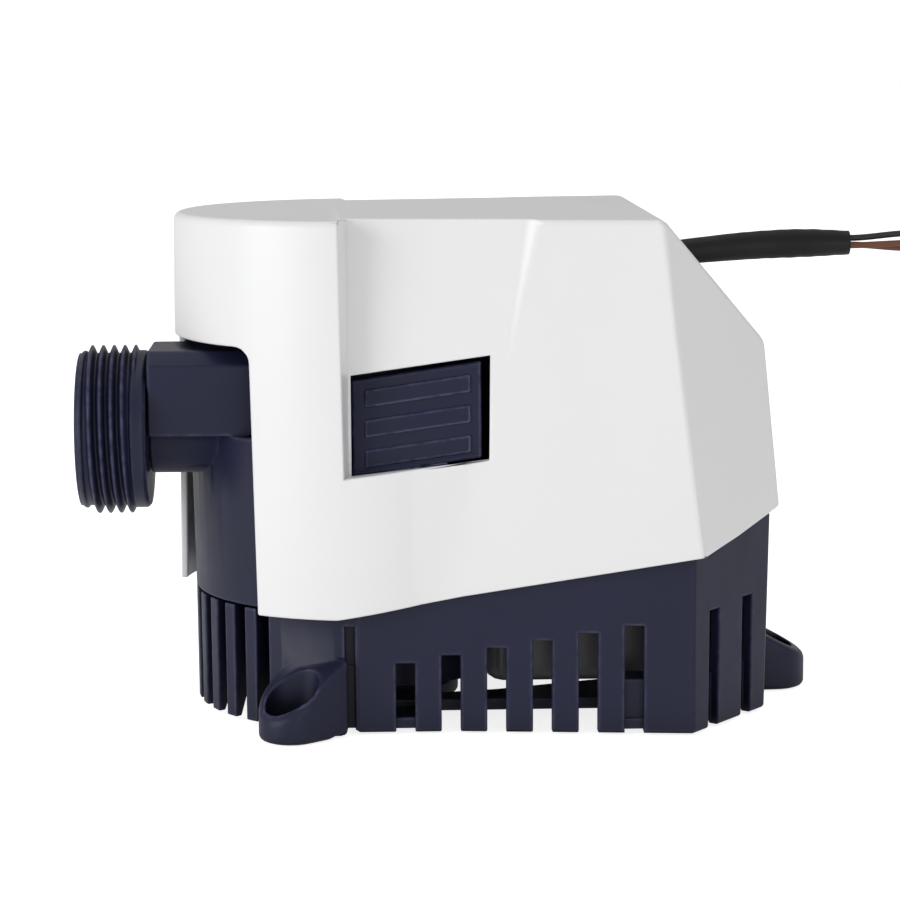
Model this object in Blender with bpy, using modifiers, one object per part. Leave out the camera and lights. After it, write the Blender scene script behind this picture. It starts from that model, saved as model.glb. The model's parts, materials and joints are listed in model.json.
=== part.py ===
"""Submersible automatic bilge pump: strainer base, pump body, lift-off motor cartridge and float switch.

The origin is on the impeller's axis at the mounting plane. +X runs along the pump from the threaded
discharge port (-X) to the cable (+X), +Z is up, and -Y is the side that the port's centre line is on.
Sizes are in millimetres and are turned into metres by MM where a shape is made.
"""
import math

import bmesh
import bpy
from mathutils import Matrix, Vector

MM = 0.001
GAP = 0.3                    # clearance between neighbouring pieces
MERGE = 0.00001              # merge distance in metres

# overall form
TOP_Z = 100.2                # cover's top
COVER_WALL = 1.4
ROUND_R = 39.7               # cover's round end at its lower edge
ROUND_DRAFT = 0.011          # how much that radius shrinks for each mm of height
SKIRT_Z = 23.5               # lower edge of the cover on the round end
SKIRT_X = -6.5               # where the lower edge starts to climb towards the cable end
CORNER_X, CORNER_Z = 63.7, 35.8
TIP_X, TIP_Z = 81.7, 41.6    # cover's lower corner on its end face
TIP_Y = 20.0                 # half width of the flat end face
SLOPE_Z = 74.7               # where the end face turns into the sloping one
POCKET_X = -4.0              # left side of the finger pocket
SILL_Z, SILL_RISE = 51.0, 0.13
POCKET_END, POCKET_SPLAY = 29.7, 1.6     # its right side at the top, and how that side slants outwards
POCKET_LEAN = 0.22           # how its left side slants outwards
OUTSIDE_Y = -52.0            # clear of the cover on the near side
WINDOW = [(-3.5, 50.1), (22.9, 54.3), (23.2, 74.3), (-3.5, 70.2)]     # (x, z) corners in the pocket
OPENING_X, OPENING_Y, OPENING_TOP = -23.0, 5.5, 75.6     # cut-out over the discharge neck

# strainer base
BASE_WALL = 2.0
BASE_R_LOW, BASE_R_HIGH = 35.6, 35.8
BASE_PLAN_LOW = [(-3.0, -35.6), (17.0, -35.9), (62.3, -40.3), (79.0, -19.8)]      # at z = 0
BASE_PLAN_HIGH = [(-3.0, -36.1), (17.0, -36.4), (62.2, -40.8), (79.8, -19.2)]     # at PLAN_Z
PLAN_Z = 36.0
RING_Z = 24.0                # top of the round end's slots
FLOOR_LOW, FLOOR_HIGH = 1.0, 4.0
DISC_R = 18.0                # floor disc under the impeller
STRIP_LOW, STRIP_HIGH = 2.2, 4.6          # floor strips beside the float
RIB_HIGH, RIB_THICK = 10.8, 1.8          # ribs behind the last slot and the corner slots
GROOVE_Y = 33.2              # bottom of the grooves beside the round end
GUSSET_R, GUSSET_Z = 29.6, 12.6          # the round end's teeth are deepest from this height up
SLOT_WIDTH = 3.7
SLOT_PITCH = 8.86
FIRST_SLOT = 6.5
SLOT_TOP, SLOT_STEP = 14.2, 1.52
RIM = 4.5                    # how far the base reaches up inside the cover
WALL_LOW, ROUND_LOW = 0.4, 0.8            # lower edges of the straight walls and of the round end
FOOT_R, SCREW_R = 6.5, 2.3                # screw ear and the screw's slot
NEAR_FOOT, NEAR_FOOT_DIR = (-15.6, -37.4), (0.75, 0.66)
NEAR_FOOT_Z, NEAR_FOOT_RISE = 9.8, (0.46, 0.62)      # height of its top at its centre, and how that climbs
NEAR_HOLE, NEAR_CUP_R = (-15.4, -38.2), 4.0
FAR_FOOT, FAR_FOOT_DIR = (84.0, 2.0), (-1.0, 0.0)
FAR_FOOT_Z, FAR_FOOT_RISE = 10.38, (-0.52, 0.0)
FAR_HOLE, FAR_CUP_R = (84.4, 2.0), 3.5
LOCATE_R, LOCATE_BORE = 33.5, 31.9        # locating ring that holds the pump body

# pump body and discharge
SHELL_R, SHELL_LOW_R, SHELL_BORE = 36.5, 35.7, 33.9     # round wall inside the cover, top and bottom
CHAMBER_R, CHAMBER_BORE = 26.5, 24.5
CHAMBER_LOW, CHAMBER_HIGH = 7.0, 76.0
EYE_R = 9.5
PORT_Y, PORT_Z = -12.3, 57.5
PORT_END, PORT_ROOT = -57.3, -43.6
PORT_BORE = 7.0
NECK_HALF = 11.75            # half width of the neck's box above the port's axis
NECK_TOP, NECK_CHAMFER = 74.0, 2.7
NECK_CUT_X = -18.0           # the round wall is cut away beside the neck up to here
LIP_R = 15.7
THREAD_CREST, THREAD_ROOT, THREAD_PITCH, THREADS = 16.8, 15.2, 2.15, 5

# motor cartridge
POT_R, POT_WALL = 21.0, 1.8
POT_LOW, FLANGE_LOW, FLANGE_HIGH, FLANGE_R = 24.0, 76.3, 79.3, 28.0
SHAFT_R, SHAFT_LOW, SHAFT_HIGH = 1.6, 12.0, 74.0
CAN_R, CAN_WALL, CAN_LOW, CAN_HIGH = 18.7, 1.2, 29.0, 71.0
CORE_LOW, CORE_HIGH = 40.0, 60.0
BELL_LOW, BELL_HIGH, BELL_R = 69.6, 72.2, 17.1
BRUSH_Z = 67.0
IMPELLER_R, VANES = 19.0, 5

# float switch
PIVOT_X, PIVOT_Z = 68.0, 24.0
FLOAT_LEFT, FLOAT_RIGHT, FLOAT_LOW, FLOAT_HIGH, FLOAT_HALF = 22.0, 58.0, 7.6, 25.0, 27.0
WING_RIGHT, WING_INNER = 69.0, 11.5       # the float's two wings beside its hinge
BOSS_X, BOSS_R, BOSS_LOW = 40.0, 5.2, 4.4                # round boss under the float
SWITCH_LOW, SWITCH_HIGH = 43.0, 60.0
SWITCH_LEFT, SWITCH_RIGHT, SWITCH_HALF, SWITCH_WALL = 32.5, 72.0, 20.0, 1.8

# release tabs
TAB_HINGE_X, TAB_HINGE_Y, TAB_HINGE_Z = 9.0, -32.8, 28.0
TAB_DEPTH, TAB_THICK = 2.5, 1.7          # pad's front behind the pocket's bottom, and its thickness
TAB_LOW, TAB_HIGH, TAB_RISE = 50.4, 69.0, 0.16
RIDGE_LOW, RIDGE_PITCH, RIDGE_HIGH = 52.2, 5.8, 3.4

# cable
CABLE_Y = 5.0
CABLE_START, CABLE_END = (60.0, 89.5), (99.2, 92.4)
CABLE_ARCH = 1.6
WIRE_END = 112.0
SLEEVE_R, SLEEVE_BORE, WIRE_R, WIRE_RING = 2.6, 1.95, 0.65, 0.97

NAVY = ((0.031, 0.034, 0.072, 1.0), 0.42, 0.0)
WHITE = ((0.86, 0.86, 0.86, 1.0), 0.22, 0.0)
BLACK = ((0.012, 0.012, 0.014, 1.0), 0.35, 0.0)
RUBBER = ((0.015, 0.015, 0.015, 1.0), 0.7, 0.0)
STEEL = ((0.55, 0.55, 0.56, 1.0), 0.3, 1.0)
COPPER = ((0.72, 0.36, 0.2, 1.0), 0.35, 1.0)
BRONZE = ((0.55, 0.38, 0.18, 1.0), 0.4, 1.0)
MAGNET = ((0.05, 0.05, 0.055, 1.0), 0.5, 0.2)
CARBON = ((0.02, 0.02, 0.02, 1.0), 0.6, 0.1)
GLASS = ((0.6, 0.75, 0.7, 1.0), 0.08, 0.0)
BROWN = ((0.23, 0.09, 0.045, 1.0), 0.4, 0.0)


# ---------------------------------------------------------------- scene and helpers

def clear_scene():
    for item in list(bpy.data.objects):
        bpy.data.objects.remove(item, do_unlink=True)


def make_collection(name):
    group = bpy.data.collections.new(name)
    bpy.context.scene.collection.children.link(group)
    return group


def material(name, look):
    colour, roughness, metallic = look
    mat = bpy.data.materials.get(name)
    if mat is None:
        mat = bpy.data.materials.new(name)
        mat.use_nodes = True
        shader = mat.node_tree.nodes["Principled BSDF"]
        shader.inputs["Base Color"].default_value = colour
        shader.inputs["Roughness"].default_value = roughness
        shader.inputs["Metallic"].default_value = metallic
        mat.diffuse_color = colour
    return mat


def add_mesh(name, mesh):
    """A new object with the mesh, kept with the parts until it is used as a cutter."""
    item = bpy.data.objects.new(name, mesh)
    parts.objects.link(item)
    return item


def add_bmesh(name, shape):
    bmesh.ops.recalc_face_normals(shape, faces=shape.faces)
    mesh = bpy.data.meshes.new(name)
    shape.to_mesh(mesh)
    shape.free()
    return add_mesh(name, mesh)


def box(name, low, high):
    """A box between two corners given in millimetres."""
    low, high = Vector(low) * MM, Vector(high) * MM
    shape = bmesh.new()
    bmesh.ops.create_cube(shape, size=1.0)
    bmesh.ops.scale(shape, vec=high - low, verts=shape.verts)
    bmesh.ops.translate(shape, vec=(high + low) / 2, verts=shape.verts)
    return add_bmesh(name, shape)


def cylinder(name, radius, start, end, segments=32, radius_end=None):
    """A cylinder or cone from start to end, in millimetres."""
    start, end = Vector(start) * MM, Vector(end) * MM
    along = end - start
    shape = bmesh.new()
    bmesh.ops.create_cone(shape, cap_ends=True, segments=segments, radius1=radius * MM,
                          radius2=(radius if radius_end is None else radius_end) * MM,
                          depth=along.length)
    turn = Vector((0, 0, 1)).rotation_difference(along).to_matrix().to_4x4()
    bmesh.ops.transform(shape, matrix=Matrix.Translation((start + end) / 2) @ turn, verts=shape.verts)
    return add_bmesh(name, shape)


def turned(name, profile, segments=48, centre=(0.0, 0.0), closed=True):
    """A ring or a turned solid: the (radius, z) profile runs down its outer side first."""
    mesh = bpy.data.meshes.new(name)
    points = [(r * MM, 0.0, z * MM) for r, z in profile]
    edges = [(i, i + 1) for i in range(len(points) - 1)]
    if closed:
        edges.append((len(points) - 1, 0))
    mesh.from_pydata(points, edges, [])
    item = add_mesh(name, mesh)
    item.location = (centre[0] * MM, centre[1] * MM, 0.0)
    spin = item.modifiers.new("spin", 'SCREW')
    spin.angle = math.tau
    spin.steps = spin.render_steps = segments
    spin.use_merge_vertices = True
    spin.merge_threshold = MERGE
    return item


def ring(name, outer, inner, low, high, segments=48, centre=(0.0, 0.0)):
    return turned(name, [(outer, high), (outer, low), (inner, low), (inner, high)], segments, centre)


def loft(name, sections):
    """A closed solid through rings of the same number of points, in millimetres."""
    shape = bmesh.new()
    rings = [[shape.verts.new(Vector(point) * MM) for point in section] for section in sections]
    count = len(rings[0])
    for lower, upper in zip(rings, rings[1:]):
        for i in range(count):
            j = (i + 1) % count
            shape.faces.new((lower[i], lower[j], upper[j], upper[i]))
    shape.faces.new(list(reversed(rings[0])))
    shape.faces.new(rings[-1])
    bmesh.ops.remove_doubles(shape, verts=shape.verts, dist=MERGE)
    return add_bmesh(name, shape)


def prism(name, outline, low, high, axis="Z"):
    """An outline pushed along Z, or an XZ outline pushed along Y."""
    if axis == "Z":
        return loft(name, [[(x, y, low) for x, y in outline], [(x, y, high) for x, y in outline]])
    return loft(name, [[(x, low, z) for x, z in outline], [(x, high, z) for x, z in outline]])


def tube(name, points, radius, sides=2):
    """A round wire through the points, made a mesh with welded caps."""
    curve = bpy.data.curves.new(name, 'CURVE')
    curve.dimensions = '3D'
    curve.bevel_depth = radius * MM
    curve.bevel_resolution = sides
    curve.use_fill_caps = True
    curve.render_resolution_u = 0
    line = curve.splines.new('POLY')
    line.points.add(len(points) - 1)
    for spot, point in zip(line.points, points):
        spot.co = (*(Vector(point) * MM), 1.0)
    guide = bpy.data.objects.new(name + "_guide", curve)
    parts.objects.link(guide)
    bpy.context.view_layer.update()
    graph = bpy.context.evaluated_depsgraph_get()
    mesh = bpy.data.meshes.new_from_object(guide.evaluated_get(graph))
    bpy.data.objects.remove(guide, do_unlink=True)
    bpy.data.curves.remove(curve)
    shape = bmesh.new()
    shape.from_mesh(mesh)
    bpy.data.meshes.remove(mesh)
    bmesh.ops.remove_doubles(shape, verts=shape.verts, dist=MERGE)
    return add_bmesh(name, shape)


def combine(item, other, operation):
    parts.objects.unlink(other)
    cutters.objects.link(other)
    other.hide_render = True
    other.display_type = 'WIRE'
    step = item.modifiers.new(other.name, 'BOOLEAN')
    step.operation = operation
    step.object = other


def cut(item, *others):
    for other in others:
        combine(item, other, 'DIFFERENCE')


def join(item, *others):
    for other in others:
        combine(item, other, 'UNION')


def bevel(item, width, segments=2, angle=25.0):
    edge = item.modifiers.new("rounded_edges", 'BEVEL')
    edge.width = width * MM
    edge.segments = segments
    edge.limit_method = 'ANGLE'
    edge.angle_limit = math.radians(angle)
    edge.miter_outer = 'MITER_ARC'


def finish(item, material_name, look, smooth=35.0):
    """Gives a finished node its material and smooth shading."""
    item.data.materials.append(material(material_name, look))
    if len(item.data.polygons):
        item.data.shade_smooth()
        item.data.set_sharp_from_angle(angle=math.radians(smooth))
    return item


def arc(centre, radius, start, end, steps):
    """Points along an arc, angles in degrees."""
    angles = [math.radians(start + (end - start) * i / steps) for i in range(steps + 1)]
    return [(centre[0] + radius * math.cos(a), centre[1] + radius * math.sin(a)) for a in angles]


def rounded_slot(centre, direction, half, radius, steps=8):
    """Outline of a slot with round ends, its long way along direction."""
    turn = math.degrees(math.atan2(direction[1], direction[0]))
    unit = Vector(direction).normalized() * half
    ahead = (centre[0] + unit.x, centre[1] + unit.y)
    behind = (centre[0] - unit.x, centre[1] - unit.y)
    front_end = arc(ahead, radius, turn - 90, turn + 90, steps)
    return front_end + arc(behind, radius, turn + 90, turn + 270, steps)


def inset_outline(points, distance):
    """A convex outline with every side moved inwards by the distance."""
    centre = sum((Vector(p) for p in points), Vector((0, 0))) / len(points)
    sides = []
    for start, end in zip(points, points[1:] + points[:1]):
        start, end = Vector(start), Vector(end)
        normal = Vector((end.y - start.y, start.x - end.x)).normalized()
        if normal.dot(centre - start) < 0:
            normal.negate()
        sides.append((start + normal * distance, (end - start).normalized()))
    result = []
    for (p, d), (q, e) in zip([sides[-1]] + sides[:-1], sides):
        across = d.x * e.y - d.y * e.x
        t = ((q.x - p.x) * e.y - (q.y - p.y) * e.x) / across
        result.append((p.x + d.x * t, p.y + d.y * t))
    return result


# ---------------------------------------------------------------- cover

def round_radius(z):
    return ROUND_R - (z - SKIRT_Z) * ROUND_DRAFT


def panel_y(x, z):
    """The cover's long side panel."""
    return -(33.6 + 0.136 * x + 0.03 * (TOP_Z - z))


def pocket_y(x, z):
    """The bottom of the finger pocket above the release tab."""
    return -(31.2 + 0.151 * x + 0.081 * (TOP_Z - z))


def cover_outline(z, inset=0.0):
    """Plan of the wedge behind the round end at height z."""
    start = (SKIRT_X, -math.sqrt(round_radius(z) ** 2 - SKIRT_X ** 2) + 0.1)
    bend_x = 17.4 + 0.184 * (z - 26.8)
    bend = (bend_x, panel_y(bend_x, z))
    fall = (TOP_Z - z) / (TOP_Z - CORNER_Z)
    corner = (55.8 + (CORNER_X - 55.8) * fall, -41.2 - 3.0 * fall)
    if z <= SLOPE_Z:
        tip = (TIP_X - 0.103 * (z - TIP_Z), -TIP_Y)
    else:
        blend = (z - SLOPE_Z) / (TOP_Z - SLOPE_Z)
        low_tip = TIP_X - 0.103 * (SLOPE_Z - TIP_Z)
        tip = (low_tip + (55.8 - low_tip) * blend, -TIP_Y + (TIP_Y - 41.2) * blend)
    if z >= TOP_Z:
        tip = corner
    near = [start, bend, corner, tip]
    plan = near + [(x, -y) for x, y in reversed(near)]
    if inset:
        plan = inset_outline(plan, inset)
    return [(x, y, z) for x, y in plan]


def cover_form(name, inset, top):
    low = SKIRT_Z - 12.0
    heights = [low, SLOPE_Z - inset, top]
    wedge = loft(name + "_wedge", [cover_outline(z, inset) for z in heights])
    drum = cylinder(name + "_drum", round_radius(low) - inset, (0, 0, low), (0, 0, top), 96,
                    round_radius(top) - inset)
    return wedge, drum


def pocket_cutter(name, margin):
    """The space of the finger pocket, grown by margin for the inside of the wall."""
    def section(z_of):
        left = POCKET_X - margin
        right = POCKET_END - 0.146 * (TOP_Z - z_of(POCKET_END)) + margin
        y_left = pocket_y(left, z_of(left)) + margin
        y_right = pocket_y(right, z_of(right)) + margin
        far_x = right + POCKET_SPLAY * (y_right - OUTSIDE_Y)
        far_left = left - POCKET_LEAN * (y_left - OUTSIDE_Y)
        return [(left, y_left, z_of(left)), (right, y_right, z_of(right)),
                (far_x, OUTSIDE_Y, z_of(right)), (far_left, OUTSIDE_Y, z_of(left))]
    sill = section(lambda x: SILL_Z + SILL_RISE * (x - POCKET_X) - margin)
    top = section(lambda x: TOP_Z + 2.0)
    return loft(name, [sill, top])


def window_cutter(name):
    """The opening in the pocket's bottom that the release tab shows through."""
    return loft(name, [[(x, pocket_y(x, z) + offset, z) for x, z in WINDOW]
                       for offset in (-GAP, COVER_WALL + 3.0)])


def discharge_opening():
    """The cut in the round end that lets the cover drop over the neck."""
    corner = 3.0
    edge = OPENING_X - corner
    side = [(-60.0, -5.0), (OPENING_X + 1.6, -5.0), (OPENING_X, OPENING_TOP - corner)]
    side += arc((edge, OPENING_TOP - corner), corner, 15, 90, 5)
    side.append((-60.0, OPENING_TOP))
    return prism("discharge_opening", side, -45.0, OPENING_Y, "Y")


def build_cover():
    """Wedge and drum in one shell, open below, with a finger pocket and a window on each side."""
    cover, drum = cover_form("outer", 0.0, TOP_Z)
    cover.name = "cover"
    bevel(cover, 1.1, 2, 20)
    bevel(drum, 1.6, 3, 50)
    join(cover, drum)
    hollow, hollow_drum = cover_form("inner", COVER_WALL, TOP_Z - COVER_WALL)
    join(hollow, hollow_drum)
    for side in ("near", "far"):
        pocket = pocket_cutter("pocket_" + side, 0.0)
        pocket_wall = pocket_cutter("pocket_wall_" + side, COVER_WALL)
        window = window_cutter("window_" + side)
        if side == "far":
            for shape in (pocket, pocket_wall, window):
                flip_y(shape)
        cut(cover, pocket, window)
        cut(hollow, pocket_wall)
    skirt = [(-60, -5), (90, -5), (90, TIP_Z + 2.8), (TIP_X, TIP_Z), (CORNER_X, CORNER_Z),
             (SKIRT_X, SKIRT_Z), (-60, SKIRT_Z)]
    cut(cover, hollow, prism("below_skirt", skirt, -60.0, 60.0, "Y"), discharge_opening())
    near, far = cable_point(60.0), cable_point(68.0)
    cut(cover, cylinder("cable_hole", SLEEVE_R + 0.6, near - (far - near), far + (far - near), 24))
    return finish(cover, "white_abs", WHITE)


def flip_y(item):
    item.data.transform(Matrix.Scale(-1, 4, (0, 1, 0)))
    item.data.flip_normals()


# ---------------------------------------------------------------- strainer base

def base_outline(z, inset=0.0):
    """Plan of the base's wedge at height z: it widens slightly upwards."""
    share = z / PLAN_Z
    near = [(a + (c - a) * share, b + (d - b) * share)
            for (a, b), (c, d) in zip(BASE_PLAN_LOW, BASE_PLAN_HIGH)]
    plan = near + [(x, -y) for x, y in reversed(near)]
    if inset:
        plan = inset_outline(plan, inset)
    return [(x, y, z) for x, y in plan]


def foot(name, centre, direction, centre_z, rise):
    """A screw ear that runs into the wall along direction, its top climbing by rise per mm in X and Y."""
    reach = 9.0
    unit = Vector(direction).normalized()
    inner = (centre[0] + unit.x * reach, centre[1] + unit.y * reach)
    turn = math.degrees(math.atan2(unit.y, unit.x))
    outline = arc(centre, FOOT_R, turn + 90, turn + 270, 12)
    outline += arc(inner, FOOT_R + 0.5, turn - 90, turn + 90, 1)
    bottom = [(x, y, 0.0) for x, y in outline]
    top = [(x, y, centre_z + (x - centre[0]) * rise[0] + (y - centre[1]) * rise[1]) for x, y in outline]
    ear = loft(name, [bottom, top])
    bevel(ear, 1.1, 2, 40)
    return ear


def foot_holes(name, centre, direction, half, cup_radius):
    """The cup in an ear's top and the screw's slot below it."""
    cup = prism(name + "_cup", rounded_slot(centre, direction, half, cup_radius), 2.6, 40.0)
    hole = prism(name + "_hole", rounded_slot(centre, direction, half, SCREW_R), -1.0, 40.0)
    return cup, hole


def strainer_slots():
    """Comb slots round the base, each open at the bottom."""
    slots = []
    for i in range(6):
        x = FIRST_SLOT + i * SLOT_PITCH
        top = SLOT_TOP + SLOT_STEP * i
        for side in (-1, 1):
            ends = sorted((side * 33.0, side * 45.0))
            slots.append(box(f"slot_{i}_{side}", (x - SLOT_WIDTH / 2, ends[0], -1.0),
                             (x + SLOT_WIDTH / 2, ends[1], top)))
    for side in (-1, 1):
        for i, (x, y, top) in enumerate(((66.6, -34.6, 23.9), (74.4, -25.2, 24.6))):
            angle = math.atan2(0.64 * side, 0.77)
            slots.append(radial_slot(f"corner_slot_{i}_{side}", Vector((x, y * -side)), angle, 3.6, top))
    for i, y in enumerate((-12.0, 12.0)):
        slots.append(box(f"end_slot_{i}", (74.0, y - 1.9, -1.0), (84.0, y + 1.9, 25.0)))
    for i in range(12):
        angle = math.radians(180 + 53 - 10 * i)
        spot = Vector((math.cos(angle), math.sin(angle))) * 34.5
        slots.append(radial_slot(f"round_slot_{i}", spot, angle, 3.1, RING_Z))
    return slots


def radial_slot(name, spot, angle, width, top):
    slot = box(name, (-7.0, -width / 2, -1.0), (5.0, width / 2, top))
    slot.data.transform(Matrix.Translation((spot.x * MM, spot.y * MM, 0)) @ Matrix.Rotation(angle, 4, 'Z'))
    return slot


def base_floor():
    """The disc under the impeller on its pad, and the bars and strips that tie it to the wall."""
    floor = cylinder("floor_disc", DISC_R, (0, 0, FLOOR_LOW), (0, 0, FLOOR_HIGH), 48)
    join(floor, cylinder("floor_pad", 8.0, (0, 0, 0), (0, 0, FLOOR_LOW + 1), 32))
    bar_top = FLOOR_HIGH - 0.8
    for side in (-1, 1):
        inner, outer = sorted((side * 15.0, side * 34.9))
        join(floor, box(f"first_slot_bar_{side}", (3.5, inner, FLOOR_LOW), (9.5, outer, bar_top)))
        inner, outer = sorted((side * 20.0, side * 38.0))
        join(floor, box(f"last_slot_bar_{side}", (48.0, inner, FLOOR_LOW), (54.0, outer, bar_top)))
        inner, outer = sorted((side * 30.0, side * 37.2))
        join(floor, box(f"last_slot_rib_{side}", (48.4, inner, FLOOR_LOW + 0.5), (53.6, outer, RIB_HIGH)))
        reach = ((25.0, 18.0), (51.0, 9.0)) if side == -1 else ((25.0, 22.0), (51.0, 22.0))
        strip = [(4.0, 22.0), *reach, (51.0, 26.0), (4.0, 26.0)]
        join(floor, prism(f"strip_{side}", [(x, side * y) for x, y in strip], STRIP_LOW, STRIP_HIGH))
    join(floor, box("floor_bar_round", (-37.0, -3.0, FLOOR_LOW), (4.0 - DISC_R, 3.0, bar_top)),
         box("cross_bar", (49.6, -34.0, STRIP_LOW - 0.6), (52.6, 34.0, STRIP_HIGH + 0.6)))
    trim = ring("floor_trim", 60.0, 34.9, -5.0, 10.0, 48)
    cut(trim, box("floor_trim_keep", (-3.2, -60, -9), (90, 60, 14)))
    cut(floor, trim)
    return floor


def corner_ribs():
    """Low ribs that close the corner slots from behind, one on each side."""
    front, back = base_outline(0.0, BASE_WALL - 0.2), base_outline(0.0, BASE_WALL + RIB_THICK)
    ribs = []
    for corner, tip in ((2, 3), (5, 4)):
        outline = [front[corner][:2], front[tip][:2], back[tip][:2], back[corner][:2]]
        ribs.append(prism(f"corner_rib_{corner}", outline, FLOOR_LOW, RIB_HIGH))
    return ribs


def groove_backs():
    """Blocks behind the two grooves beside the round end, so that they don't open to the inside."""
    blocks = []
    for side in (-1, 1):
        ends = sorted((side * (GROOVE_Y + 0.2), side * (GROOVE_Y - 2.4)))
        blocks.append(box(f"groove_back_{side}", (-6.2, ends[0], ROUND_LOW),
                          (-2.4, ends[1], GUSSET_Z + 1.0)))
    return blocks


def build_strainer_base():
    """Wall with comb slots, open above and below, with its floor, locating ring and two feet."""
    top = CORNER_Z + RIM
    base = loft("strainer_base", [base_outline(WALL_LOW), base_outline(top)])
    drum = cylinder("base_drum", BASE_R_LOW, (0, 0, ROUND_LOW), (0, 0, top), 60, BASE_R_HIGH)
    bevel(base, 0.6, 2, 30)
    join(base, drum)
    hollow = loft("base_hollow", [base_outline(-2.0, BASE_WALL + 0.4), base_outline(top + 2, BASE_WALL)])
    drum_profile = [(0.0, top + 2), (GUSSET_R, top + 2), (GUSSET_R, GUSSET_Z), (BASE_R_LOW - 1.2, 0.0),
                    (BASE_R_LOW - 1.2, -2.0), (0.0, -2.0)]
    hollow_drum = turned("base_hollow_drum", drum_profile, 60, closed=False)
    join(hollow, hollow_drum)
    cut(base, hollow)
    rise = (CORNER_Z - SKIRT_Z) / (CORNER_X - SKIRT_X)
    end_z = CORNER_Z + (84.0 - CORNER_X) * rise + 3.0
    above = [(-4.6, SKIRT_Z + RIM), (84.0, end_z + RIM - 2.0), (84.0, 60.0), (-45.0, 60.0),
             (-45.0, RING_Z - GAP), (-4.6, RING_Z - GAP)]
    cut(base, prism("above_rim", above, -60.0, 60.0, "Y"))
    locating = ring("locating_ring", LOCATE_R, LOCATE_BORE, RING_Z - 3.0, RING_Z + 3.6, 72)
    cut(locating, box("locating_trim", (-3.4, -50, 0), (50, 50, 60)))
    join(base, locating)
    cut(base, box("near_groove", (-5.2, -45, -1), (-3.3, -GROOVE_Y, 21.5)),
        box("far_groove", (-5.2, GROOVE_Y, -1), (-3.3, 45, 21.5)))
    cut(base, *strainer_slots())
    join(base, *groove_backs(), *corner_ribs())
    near_ear = foot("near_foot", NEAR_FOOT, NEAR_FOOT_DIR, NEAR_FOOT_Z, NEAR_FOOT_RISE)
    relief = [(-9.0, -1.0), (2.0, -1.0), (2.0, 2.4), (-3.3, 1.9), (-9.0, 0.0)]
    cut(near_ear, prism("ear_relief", relief, -48.0, -36.4, "Y"))
    join(base, base_floor(), near_ear, foot("far_foot", FAR_FOOT, FAR_FOOT_DIR, FAR_FOOT_Z, FAR_FOOT_RISE))
    cut(base, *foot_holes("near_foot", NEAR_HOLE, (1.0, 0.0), 1.3, NEAR_CUP_R))
    cut(base, *foot_holes("far_foot", FAR_HOLE, (0.0, 1.0), 0.6, FAR_CUP_R))
    for step in base.modifiers:
        if step.type == 'BOOLEAN':
            step.solver = 'MANIFOLD'     # EXACT leaves open edges on this many slots
    return finish(base, "navy_plastic", NAVY)


# ---------------------------------------------------------------- pump body and port

def build_pump_body():
    """Round wall, inner chamber round the motor and the tangential discharge neck."""
    top = NECK_TOP - 0.4
    wall = [(SHELL_R, top), (SHELL_LOW_R, RING_Z), (SHELL_BORE, RING_Z), (SHELL_BORE, top)]
    body = turned("pump_body", wall, 60)
    chamber = turned("chamber", [(CHAMBER_R, CHAMBER_HIGH), (CHAMBER_R, CHAMBER_LOW), (EYE_R, CHAMBER_LOW),
                                 (EYE_R, CHAMBER_LOW + 2), (CHAMBER_BORE, CHAMBER_LOW + 2),
                                 (CHAMBER_BORE, CHAMBER_HIGH)], 48)
    floor = ring("shell_floor", SHELL_BORE + 1.4, CHAMBER_R - 0.6, RING_Z + 4.2, RING_Z + 6.4, 60)
    neck = neck_block()
    join(body, floor)
    beside = PORT_Y - NECK_HALF + NECK_CHAMFER + 0.3      # past the chamfer's edge, inside the box
    cut(body, box("shell_trim", (-7.5, -50, RING_Z - 3.0), (50, 50, 90)),
        box("wall_beside_neck", (-40.0, -45.0, PORT_Z), (NECK_CUT_X, beside, 90.0)))
    join(body, chamber, neck)
    cut(body, cylinder("chamber_bore", CHAMBER_BORE, (0, 0, CHAMBER_LOW + 2), (0, 0, 90), 48),
        cylinder("neck_bore", PORT_BORE, (-60, PORT_Y, PORT_Z), (-20.5, PORT_Y, PORT_Z), 32))
    return finish(body, "navy_plastic", NAVY)


def neck_block():
    """A round tube below a chamfered box, both running into the round wall."""
    start = PORT_ROOT + GAP
    inner = -20.0
    low, high, chamfer = PORT_Z, NECK_TOP, NECK_CHAMFER
    near, far = PORT_Y - NECK_HALF, PORT_Y + NECK_HALF
    outline = [(near, low), (near, high - chamfer), (near + chamfer, high), (far - chamfer, high),
               (far, high - chamfer), (far, low)]
    neck = loft("neck_box", [[(x, y, z) for y, z in outline] for x in (start, inner)])
    pipe = cylinder("neck_pipe", 8.8, (start, PORT_Y, PORT_Z), (inner, PORT_Y, PORT_Z), 40)
    join(neck, pipe)
    return neck


def build_threaded_port():
    """Turned collar with a thread, modelled as rings of the thread's depth and pitch."""
    length = PORT_ROOT - PORT_END
    outer = [(PORT_BORE + 4.0, length), (14.6, length), (LIP_R, length - 0.7), (LIP_R, length - 1.2)]
    z = length - 1.4
    for _ in range(THREADS):
        outer += [(THREAD_ROOT, z), (THREAD_ROOT, z - 0.35),
                  (THREAD_CREST, z - 1.0), (THREAD_CREST, z - 1.25)]
        z -= THREAD_PITCH
    outer += [(THREAD_ROOT, z + 0.3), (LIP_R, z), (LIP_R, 0.6), (LIP_R - 0.6, 0.0)]
    inner = [(PORT_BORE + 2.0, 0.0), (PORT_BORE + 2.0, 1.5), (PORT_BORE + 4.0, 3.0)]
    port = turned("threaded_port", outer + inner, 32)
    port.rotation_euler = (0.0, -math.pi / 2, 0.0)
    port.location = (PORT_ROOT * MM, PORT_Y * MM, PORT_Z * MM)
    return finish(port, "navy_plastic", NAVY)


# ---------------------------------------------------------------- release tabs

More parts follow.
